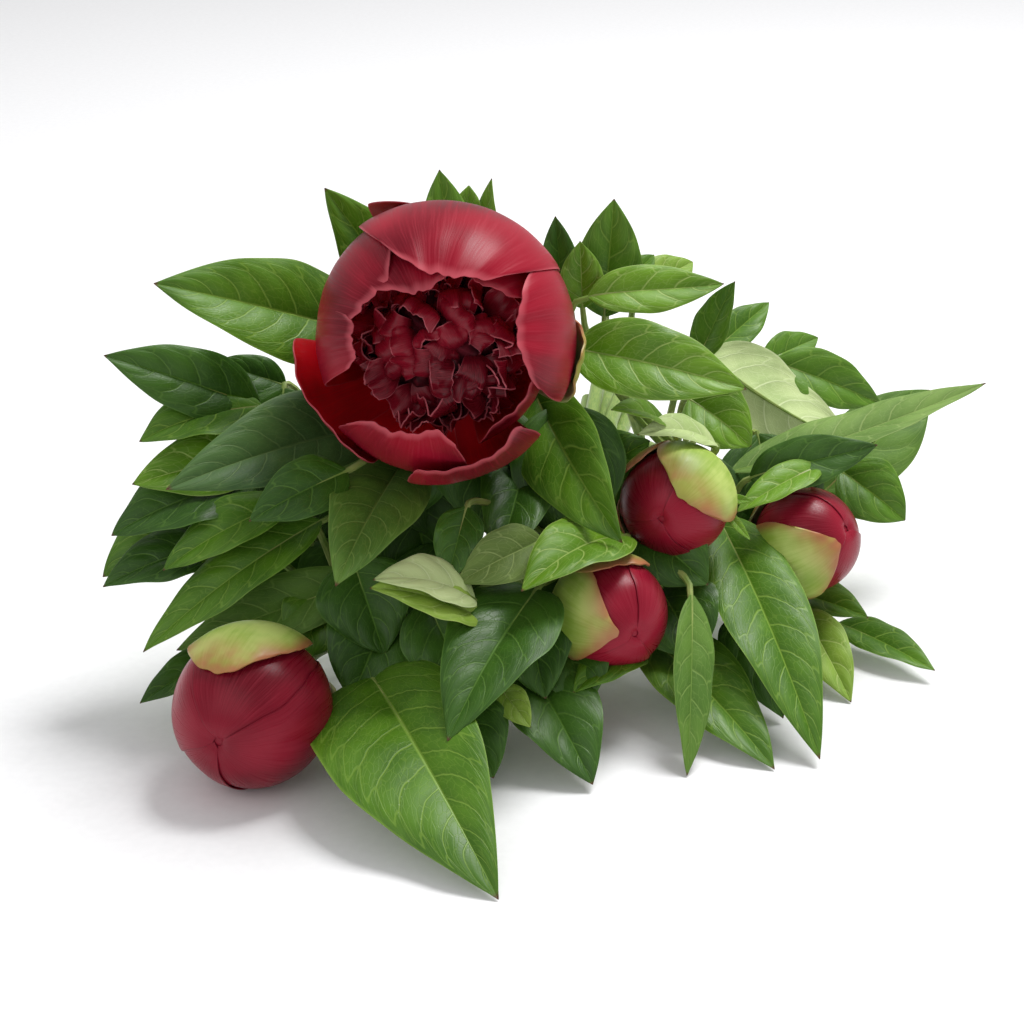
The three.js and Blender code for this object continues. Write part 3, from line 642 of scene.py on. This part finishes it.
# Leaves with a blade unlike the rest: base and left of add_leaf.
OUTLINES = {"leaf_front_big": (0.45, 1.4), "leaf_bloom_front": (0.6, 1.1), "leaf_low_wide": (0.5, 1.1)}
for node, tone in TONES.items():
    piece = Piece(node.replace("leaf_", "blade_"), "leaf", node)
    add_leaf(piece, leaf_of(node), tone, *OUTLINES.get(node, ()))
    piece.finish()


FRONT, UP_FRONT = (0, -0.8, 0.6), (0, -0.4, 0.9)  # ways that a leaflet may face
# Small leaflets between the CAD's leaves: stem, start and tip from the bloom's centre in
# millimetres, width, arch near the base and near the tip, the way it faces and its tone.
LEAFLETS = [
    ("bloom", (7, 78, 14), (8, 80, 28), 11, (0, 1), FRONT, "bright"),
    ("bud_high", (70, 105, -20), (90, 120, -13), 18, (1, 2), FRONT, "light"),
    ("bud_high", (59, 100, -21), (75, 110, -7), 16, (1, 2), FRONT, "mid"),
    ("bud_right", (131, 42, -62), (100, 22, -71), 15, (2, 2), UP_FRONT, "bright"),
    ("bud_high", (93, 32, -50), (65, 14, -39), 15, (4, 5), UP_FRONT, "pale"),
    ("bud_high", (95, 18, -68), (104, 10, -76), 4, (1, 0), FRONT, "bright"),
    ("bud_high", (95, 20, -65), (105, 16, -64), 4, (1, 0), FRONT, "bright"),
    ("bud_high", (98, 12, -107), (115, -15, -131), 24, (3, 3), UP_FRONT, "deep"),
    ("bud_low", (66, -10, -108), (43, -36, -110), 20, (4, 4), UP_FRONT, "mid"),
    ("bud_low", (8, -12, -54), (2, -32, -72), 17, (1, 2), FRONT, "deep"),
    ("bud_front", (11, -32, -78), (-21, -46, -64), 22, (4, 5), UP_FRONT, "pale"),
    ("bud_front", (13, -36, -83), (-22, -48, -66), 20, (3, 4), UP_FRONT, "light"),
    ("bud_low", (33, -14, -65), (5, -32, -72), 20, (3, 3), FRONT, "olive"),
    ("bud_low", (32, -10, -83), (9, -28, -81), 18, (2, 3), FRONT, "olive"),
    ("bud_front", (-56, 52, -36), (-80, 46, -25), 15, (1, 1), FRONT, "deep"),
    ("bud_front", (-62, 30, -35), (-101, 8, -39), 26, (3, 4), UP_FRONT, "mid"),
    ("bud_front", (-62, 24, -50), (-103, 0, -51), 26, (3, 3), FRONT, "bright"),
    ("bud_front", (-64, 16, -56), (-110, -6, -67), 32, (3, 4), UP_FRONT, "deep"),
    ("bud_front", (-69, 10, -76), (-113, -12, -83), 26, (3, 4), UP_FRONT, "deep"),
    ("bud_front", (-51, 2, -58), (-92, -16, -75), 22, (3, 3), UP_FRONT, "mid"),
    ("bud_front", (-71, -10, -108), (-100, -32, -116), 16, (2, 2), UP_FRONT, "deep"),
    ("bud_low", (4, -40, -110), (17, -62, -127), 26, (3, 3), UP_FRONT, "deep"),
    ("bud_front", (-30, -6, -76), (-19, -28, -100), 34, (3, 3), FRONT, "deep"),
    ("bud_front", (-17, -12, -91), (-30, -36, -113), 36, (3, 3), FRONT, "deep"),
    ("bud_low", (-5, -18, -85), (9, -40, -110), 30, (3, 3), FRONT, "deep"),
    ("bud_front", (-38, -4, -88), (-48, -18, -107), 26, (2, 2), FRONT, "mid"),
    ("bloom", (-31, -10, -42), (-61, -32, -50), 22, (2, 3), FRONT, "deep"),
    ("bud_low", (19, -38, -107), (29, -52, -114), 12, (1, 1), FRONT, "light"),
    ("bud_low", (41, -16, -101), (47, -36, -116), 26, (2, 3), FRONT, "deep"),
    ("bud_high", (67, 16, -75), (89, -2, -87), 30, (3, 3), FRONT, "deep"),
    ("bud_high", (74, 10, -95), (86, -12, -110), 34, (3, 3), FRONT, "deep"),
    ("bud_high", (85, 52, -41), (106, 40, -54), 26, (3, 3), FRONT, "bright"),
    ("bud_high", (76, 28, -41), (56, 14, -30), 14, (2, 3), UP_FRONT, "bright"),
    ("bud_high", (53, 30, -59), (70, 26, -46), 22, (2, 2), FRONT, "mid"),
    ("bud_right", (111, 36, -111), (124, 10, -131), 28, (3, 3), FRONT, "deep"),
    ("bud_right", (142, 70, -76), (165, 60, -91), 26, (2, 2), FRONT, "mid"),
    ("bud_low", (26, -10, -89), (34, -38, -111), 30, (3, 3), FRONT, "deep"),
    ("bloom", (-16, 40, -26), (2, 30, -88), 46, (3, 4), FRONT, "deep"),
    ("bud_low", (34, 36, -30), (22, 26, -88), 46, (3, 4), FRONT, "deep"),
    ("bloom", (-14, 34, -56), (-4, 26, -108), 40, (3, 4), FRONT, "deep"),
    ("bud_front", (-44, 38, -50), (-34, 30, -104), 40, (3, 4), FRONT, "deep"),
]
# Broad dark leaves deep in the bunch, behind the ones above; their deep tone is painted shade for the
# inside of the bunch.
for k, (stem, x, y) in enumerate([("bud_front", -56, 44), ("bud_front", -34, 36), ("bloom", -10, 34),
                                  ("bud_low", 14, 32), ("bud_low", 38, 28), ("bud_high", 62, 48),
                                  ("bud_high", 86, 62), ("bud_right", 112, 76)]):
    lean = 10 * math.sin(2.1 * k)
    high = -34 if x < 60 else -64
    LEAFLETS.append((stem, (x, y, high), (x + lean, y - 16, high - 42), 42, (3, 4), FRONT, "deep"))
    LEAFLETS.append((stem, (x + 8, y - 8, -84), (x - lean, y - 28, -118), 40, (3, 4), FRONT, "deep"))
for k, (stem, start, tip, width, arch, facing, tone) in enumerate(LEAFLETS):
    piece = Piece(f"leaflet_{k + 1:02d}", "leaf")
    ends = [bloom.centre + np.array(end) * MM for end in (start, tip)]
    leaf = leaf_between(heads[stem].line, *ends, width, arch, np.array(facing, float))
    add_leaf(piece, leaf, tone)
    piece.finish()


# ---- petals ------------------------------------------------------------------
CLAW_WIDTH = 5 * MM  # a petal's width at its foot


def cupped(head, bearing, span, reach, share, flare=0.0, drop=14, foot=10, rows=44, columns=41,
           corner=0.0, tilt=0.0, lean=0.0, waist=0.0, rim_wave=0.0, waves=5, narrowing=0.12):
    """A cupped sheet on a head, as the CAD lays it out, with a softer outline and a wavy rim.

    It runs from foot to reach, in degrees from the head's foot, and spans its bearing plus and
    minus span. share is its distance from the head's centre as a share of the radius; lean adds to
    that at one side and flare at the rim. drop and corner lower the rim at both sides, and tilt at
    one. waist narrows the sheet below its rim, and narrowing at the rim.
    """
    v = np.linspace(0, 1, rows)[:, None]
    u = np.linspace(-1, 1, columns)[None]
    claw_span = CLAW_WIDTH / 2 / (head.radius * share * math.sin(math.radians(foot)))
    opening = np.sin(np.pi / 2 * np.minimum(1, v / 0.55)) ** 0.8 * (1 - waist * (1 - v) ** 0.5)
    half_span = math.degrees(claw_span) * (1 - opening) + span * opening
    half_span = half_span * (1 - narrowing * v ** 9)
    edge = reach - drop * u ** 2 - corner * np.abs(u) ** 7 + tilt * u
    ripple = np.sin(waves * u * 2.1 + bearing) + 0.6 * np.sin(waves * u * 4.7 + 2 * bearing)
    edge = edge + rim_wave * ripple
    angle = foot + (edge - foot) * v
    radial = share * (1 + flare * v ** 3) + lean * u * opening
    ruffle = 0.016 * v ** 6 * np.sin(5 * u + bearing) + 0.005 * v ** 4 * np.sin(17 * u + 3 * bearing)
    radial = radial + ruffle * (rim_wave > 0)
    radial, angle, spread = np.broadcast_arrays(radial, angle, bearing + half_span * u)
    blade = np.stack(np.broadcast_arrays(u / 2 + 0.5, v), -1)
    return head.at(angle, spread, radial), blade


def add_petal(piece, grid, blade, thickness, outside, inside):
    """Outside is the face that looks away from the head's centre."""
    thick = np.full(grid.shape[:2], thickness)
    thick[:, [0, -1]] *= 0.5
    thick[-1] *= 0.5
    across = np.gradient(grid, axis=1)
    along = np.gradient(grid, axis=0)
    outward = (np.cross(across, along) * (grid - grid.mean((0, 1)))).sum() > 0
    first, second = (outside, inside) if outward else (inside, outside)
    piece.sheet(grid, thick, first, second, blade)


PETAL_SHEET, PETALOID_SHEET, BUD_SHEET, SEPAL_SHEET = 0.6 * MM, 0.45 * MM, 0.5 * MM, 1.0 * MM
PETALS = {
    "petal_back": dict(bearing=109, span=12, reach=86, share=1.06, lean=0.075, drop=1, tilt=1, corner=2),
    "petal_lower_right": dict(bearing=288, span=38, reach=114, share=1.03, lean=-0.05, drop=-12, corner=9,
                              waist=0.8, narrowing=0.3, rim_wave=0.4),
    "petal_lower_left": dict(bearing=211, span=35, reach=98, share=1.05, lean=-0.03, drop=-8, corner=8,
                             waist=0.4, narrowing=0.2, rim_wave=0.4),
    "petal_top": dict(bearing=79, span=48, reach=155, share=1.0, drop=10, corner=16, rim_wave=0.7),
    "petal_right": dict(bearing=5, span=41, reach=143, share=0.98, drop=10, corner=10, tilt=-1, waist=0.8,
                        narrowing=0.25, rim_wave=0.5),
    "petal_bottom": dict(bearing=253, span=41, reach=134, share=0.975, drop=2, corner=10, tilt=6,
                         waist=0.9, narrowing=0.3, rim_wave=0.8),
    "petal_left": dict(bearing=145, span=34, reach=148, share=0.93, lean=-0.04, drop=10, corner=10,
                       tilt=-3, waist=0.2, rim_wave=0.6),
    "petal_inner_top": dict(bearing=105, span=48, reach=160, share=0.92, corner=6, rim_wave=0.7),
    "petal_inner_right": dict(bearing=54, span=36, reach=146, share=0.87, corner=8, rim_wave=0.7),
}
TUCKED = {  # narrow petals tucked behind an edge of the petal named
    "petal_left": dict(bearing=184, span=17, reach=141, share=0.9, drop=3, corner=3, waist=0.9,
                       narrowing=0, rim_wave=0.4),
    "petal_lower_right": dict(bearing=322, span=32, reach=112, share=0.8, drop=6, corner=5, rim_wave=0.5),
}
for node, shape in PETALS.items():
    piece = Piece(node.replace("petal_", "guard_petal_"), "petal", node)
    for sheet in filter(None, (shape, TUCKED.get(node))):
        grid, blade = cupped(bloom, **sheet)
        add_petal(piece, grid, blade, PETAL_SHEET, petal_outside, petal_inside)
    piece.finish()


# ---- the bloom's heart -------------------------------------------------------
HEART_OUTLINE = np.array([  # distance from the bloom's axis and height along it, as shares of its radius
    (0.02, -0.86), (0.1, -0.86), (0.3, -0.7), (0.52, -0.45), (0.62, -0.1),
    (0.58, 0.16), (0.44, 0.34), (0.22, 0.44), (0.02, 0.47),
])


def add_petaloid(piece, base, outward, turn, length, width, curl, cup, ruffle, phase):
    """A small crumpled petal that stands on the heart and curls over."""
    side = unit(np.cross(outward, turn))
    face = np.cross(side, outward)
    v = np.linspace(0, 1, 17)
    bend = curl * v ** 1.4
    step = length / 16
    line = np.cumsum(np.outer(np.cos(bend), outward) + np.outer(np.sin(bend), face), axis=0) * step
    tilt = np.outer(-np.sin(bend), outward) + np.outer(np.cos(bend), face)
    u = np.linspace(-1, 1, 17)
    spread = width * (0.25 + 0.75 * np.sin(np.pi * 0.62 * np.minimum(v / 0.9, 1)) ** 0.8)
    wave = ruffle * v[:, None] ** 2 * (np.sin(4.2 * u + phase) + 0.7 * np.sin(8.1 * u + 2 * phase))[None]
    drop = (0.3 * u ** 2 + 0.07 * np.sin(5.3 * u + phase) + 0.025 * np.sin(17 * u + phase))[None]
    back = -length * drop * v[:, None] ** 3
    grid = (base + line[:, None] + side * (u[None] * spread[:, None])[..., None]
            + tilt[:, None] * (cup * width * u[None] ** 2 * v[:, None] + wave)[..., None]
            + outward * back[..., None])
    blade = np.stack(np.broadcast_arrays(u[None] / 2 + 0.5, v[:, None]), -1)
    thick = np.full(grid.shape[:2], PETALOID_SHEET)
    piece.sheet(grid, thick, heart_material, heart_material, blade)


heart = Piece("heart", "heart", "bloom_heart")
around = np.linspace(0, 2 * np.pi, 64)[None, :-1]
profile = smooth_line(np.column_stack([HEART_OUTLINE, np.zeros(len(HEART_OUTLINE))]), 40)[:, :2]
crumple = 0.66 + 0.04 * np.sin(7 * around + 9 * profile[:, 1:])
crumple = crumple + 0.03 * np.sin(13 * around - 14 * profile[:, 1:])
ring = crumple[..., None] * bloom.radius * (
    profile[:, :1, None] * (np.cos(around)[..., None] * bloom.right + np.sin(around)[..., None] * bloom.up)
    + profile[:, 1:, None] * bloom.faces)
heart.skin(bloom.centre + ring, heart_base_material, np.zeros((*ring.shape[:2], 2)))
GOLDEN_ANGLE = math.pi * (3 - math.sqrt(5))
PETALOIDS, HOODS, WIDEST_POLAR = 125, 30, 118
for k in range(PETALOIDS):
    hood = k < HOODS or k % 4 == 0  # rounded hoods at the crown, mostly frills lower down
    polar = math.radians(WIDEST_POLAR * math.sqrt((k + 0.3) / PETALOIDS))
    angle = k * GOLDEN_ANGLE + random.uniform(-0.25, 0.25)
    way = (bloom.right * math.cos(angle) + bloom.up * math.sin(angle)) * math.sin(polar)
    spot = bloom.centre + bloom.radius * (0.40 * way + bloom.faces * (0.34 * math.cos(polar) - 0.06))
    outward = unit(way + bloom.faces * math.cos(polar) + random.normal(0, 0.28, 3))
    turn = unit(random.normal(0, 1, 3) + 0.8 * np.cross(outward, bloom.faces))
    add_petaloid(
        heart, spot, outward, turn,
        length=random.uniform(10, 15) * MM,
        width=(random.uniform(5.5, 8) if hood else random.uniform(4, 7)) * MM,
        curl=random.uniform(1.7, 2.7) if hood else random.uniform(0.6, 1.9),
        cup=random.uniform(0.35, 0.8) if hood else random.uniform(-0.5, 0.5),
        ruffle=random.uniform(0.5, 1.3) * MM, phase=random.uniform(0, 6.3),
    )
heart.finish()


# ---- buds --------------------------------------------------------------------
# Where the edges of each bud's wrapped petals lie, as bearings. Each petal laps over the start
# of the next.
SEAMS = {"bud_front": [33, 122, 205, 268], "bud_high": [300, 70, 190], "bud_low": [205, 300, 75],
         "bud_right": [95, 215, 330]}
BUD_CORE = 0.955  # share of a bud's radius that the core under its wrapped petals fills


def wrapped(head, first, last, phase, rows=56, columns=57):
    """A petal wrapped round a bud from one bearing to another; its last edge stands a little proud."""
    v = np.linspace(0, 1, rows)[:, None]
    w = np.linspace(0, 1, columns)[None]
    angle = 8 + 168.5 * v - 3 * w ** 8
    stray = 2.6 * np.sin(7 * v + phase) + 1.1 * np.sin(17 * v + 2 * phase) + 0.4 * np.sin(41 * v)
    bearing = first - 9 + (last - first + 12) * w + stray * (w ** 3 + 0.3 * (1 - w) ** 3)
    radial = 0.982 + 0.026 * w + 0.014 * w ** 24 * np.sin(np.pi * v) ** 0.5
    radial = radial + 0.006 * np.sin(3 * np.pi * w) * np.sin(np.pi * v)
    radial = radial - 0.05 * np.clip((v - 0.93) / 0.07, 0, 1) ** 2
    angle, bearing, radial = np.broadcast_arrays(angle, bearing, radial)
    return head.at(angle, bearing, radial), np.stack(np.broadcast_arrays(w, v * 0.96), -1)


for name, head in heads.items():
    if name == "bloom":
        continue
    piece = Piece(name.replace("bud_", "bud_ball_"), "bud", name)
    seams = SEAMS[name]
    for k, first in enumerate(seams):
        last = seams[(k + 1) % len(seams)]
        last += 360 * (last < first)
        grid, blade = wrapped(head, first, last, k + len(name))
        stretch = 0.03 * ((grid - head.centre) @ head.faces / head.radius)[..., None]
        grid = grid + stretch * (grid - head.centre)
        add_petal(piece, grid, blade, BUD_SHEET, bud_material, bud_material)
    v, u = np.meshgrid(np.linspace(2, 178, 40), np.linspace(0, 360, 49)[:-1], indexing="ij")
    core = head.at(v, u, np.full(v.shape, BUD_CORE))
    piece.skin(core, bud_material, np.stack([np.abs(u / 180 - 1), v / 180 * 0.9], -1))
    piece.finish()


# ---- sepals ------------------------------------------------------------------
# Bearing, half span, reach and how much shorter each side is than the middle, in degrees. A fifth
# number is the sepal's own share of the head's radius.
SEPALS = {
    "bloom": [(352, 20, 100, 22, 1.03), (112, 26, 60, 18), (232, 26, 58, 18)],
    "bud_front": [(98, 46, 132, 34), (215, 36, 66, 20), (330, 36, 64, 20)],
    "bud_high": [(50, 60, 150, 28), (138, 36, 110, 20), (235, 50, 119, 16)],
    "bud_low": [(166, 52, 160, 40), (86, 44, 106, 8), (335, 46, 96, 20)],
    "bud_right": [(194, 54, 157, 46), (85, 40, 70, 20), (318, 40, 64, 20)],
}
CALYX_LIFT = {"bloom": 1.1 * 1.03}  # share of the radius that the petals under the sepals reach
for name, head in heads.items():
    share = CALYX_LIFT.get(name, 1.03) + 0.035 + 0.95 * MM / head.radius
    piece = Piece(f"{name}_sepals", "sepal", f"{name}_calyx")
    for bearing, span, reach, drop, *lift in SEPALS[name]:
        grid, blade = cupped(head, bearing, span, reach, *(lift or [share - 0.012]), drop=drop, foot=14,
                             rows=36, columns=33, rim_wave=1.0, waves=3, flare=0.006, corner=6)
        add_petal(piece, grid, blade, SEPAL_SHEET, sepal_outside, sepal_inside)
    cup_angle = np.linspace(0, 27, 9)
    bearing = np.linspace(0, 360, 33)[:-1]
    v, u = np.meshgrid(cup_angle, bearing, indexing="ij")
    outer = head.at(np.maximum(v, 1), u, share + 2.2 * MM / head.radius * np.cos(np.radians(v * 3.2)))
    inner = head.at(np.maximum(v[::-1], 1), u, np.full(v.shape, share - 0.4 * MM / head.radius))
    cup = np.concatenate([outer, inner])
    piece.skin(cup, sepal_outside, np.tile([0.5, 0.2], (*cup.shape[:2], 1)))
    piece.finish()


# ---- stems and twine ---------------------------------------------------------
STEM_RADIUS, STEM_SIDES = 3.2 * MM, 20
for name, head in heads.items():
    line = smooth_line(head.line, 120)
    start = head.line[0] + head.faces * 1.2 * MM
    line = np.concatenate([[start], line])
    run = np.linspace(0, 1, len(line))
    size = STEM_RADIUS * (0.93 + 0.07 * run)
    for knee in (0.18, 0.34, 0.52, 0.74):
        size = size + 0.55 * MM * np.exp(-((run - knee - 0.01 * len(name)) / 0.008) ** 2)
    angle = np.linspace(0, 2 * np.pi, STEM_SIDES, endpoint=False)
    ridges = 1 + 0.025 * np.cos(5 * angle)[None] + 0.01 * np.sin(3 * angle + 9 * run[:, None])
    piece = Piece(f"{name}_stalk", "stem", f"{name}_stem")
    piece.tube(line, size, stem_material, sides=STEM_SIDES, cap=cut_material, shape=ridges)
    piece.finish()

low, high = (np.array(corner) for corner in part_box("tie"))
tie_y = (low[1] + high[1]) / 2
packed = np.array([head.line[np.argmin(np.abs(head.line[:, 1] - tie_y))] for head in heads.values()])
middle = packed.mean(0)
TWINE_TURNS, POINTS_PER_TURN, TWINE_RADIUS = 5, 160, 1.0 * MM
around = np.linspace(0, 2 * np.pi, 720, endpoint=False)
ways = np.column_stack([np.cos(around), np.zeros_like(around), np.sin(around)])
rim = ((packed - middle)[:, None] + ways[None] * (STEM_RADIUS + 0.8 * MM + TWINE_RADIUS)).reshape(-1, 3)
outline = middle + rim[(rim @ ways.T).argmax(0)]
bearings = np.unwrap(np.arctan2((outline - middle)[:, 2], (outline - middle)[:, 0]))
order = np.argsort(bearings)
turns = np.linspace(0, TWINE_TURNS - 0.15, POINTS_PER_TURN * TWINE_TURNS)
wanted = bearings[order][0] + (turns % 1) * 2 * np.pi
coil = np.column_stack([np.interp(wanted, bearings[order], outline[order][:, axis], period=2 * np.pi)
                        for axis in (0, 2)])
width = high[1] - low[1] - 2 * TWINE_RADIUS
advance = low[1] + TWINE_RADIUS + width * turns / turns[-1]
twine_line = np.column_stack([coil[:, 0], advance, coil[:, 1]])
lay = np.linspace(0, 2 * np.pi * 23 * TWINE_TURNS, len(turns))
strand_angle = np.linspace(0, 2 * np.pi, 12, endpoint=False)
strands = 0.84 + 0.16 * np.abs(np.cos(1.5 * (strand_angle[None] + lay[:, None] / 3)))
twine = Piece("twine_turns", "twine", "tie")
twine.tube(twine_line, TWINE_RADIUS, twine_material, sides=12, shape=strands)
twine.finish()


# ---- the camera, the floor and the light -------------------------------------
centre = (Vector(cad_box[0]) + Vector(cad_box[1])) / 2
elevation, distance = math.radians(24), 0.806
aim = Vector(bloom.centre) + Vector((23, 0, -61)) * MM
toward = Vector((0, -math.cos(elevation), math.sin(elevation)))
lens = bpy.data.cameras.new("view")
lens.lens, lens.sensor_width, lens.clip_end = 85, 36, 20
camera = bpy.data.objects.new("view", lens)
camera.location = aim + toward * distance
camera.rotation_euler = (-toward).to_track_quat("-Z", "Y").to_euler()
bpy.context.scene.collection.objects.link(camera)
bpy.context.scene.camera = camera


def floor_finish():
    f = Finish("studio_floor", Specular_IOR_Level=0.15)
    grain = f.noise(f.space(), 300, 2)
    colour = f.mix(f.ease(grain, 0.3, 0.7), (0.86, 0.86, 0.87), (0.88, 0.88, 0.89))
    return f.done(colour, 0.75, grain, 0.0001, 0.05)


FLOOR = 12.0
floor_mesh = bpy.data.meshes.new("floor")
corners = [(FLOOR * x, FLOOR * y, 0) for x, y in ((-1, -1), (1, -1), (1, 1), (-1, 1))]
floor_mesh.from_pydata(corners, [], [(0, 1, 2, 3)])
floor_mesh.materials.append(floor_finish())
floor = bpy.data.objects.new("floor", floor_mesh)
bpy.context.scene.collection.objects.link(floor)
floor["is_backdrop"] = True

world = bpy.data.worlds.new("studio")
world.use_nodes = True
background = world.node_tree.nodes["Background"].inputs
background["Color"].default_value = (1.0, 1.0, 1.0, 1)
background["Strength"].default_value = 0.55
bpy.context.scene.world = world


def softbox(name, location, size, power):
    light = bpy.data.lights.new(name, "AREA")
    light.shape, light.size, light.energy = "SQUARE", size, power
    lamp = bpy.data.objects.new(name, light)
    lamp.location = centre + Vector(location)
    lamp.rotation_euler = (centre - lamp.location).to_track_quat("-Z", "Y").to_euler()
    bpy.context.scene.collection.objects.link(lamp)


softbox("key", (0.45, 0.3, 1.2), 0.55, 19)
softbox("fill", (-0.6, -1.1, 0.8), 1.0, 3)
bpy.context.scene.view_settings.view_transform = "Standard"

size = {"cad": [list(corner) for corner in cad_box], "visual": [list(corner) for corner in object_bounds()]}
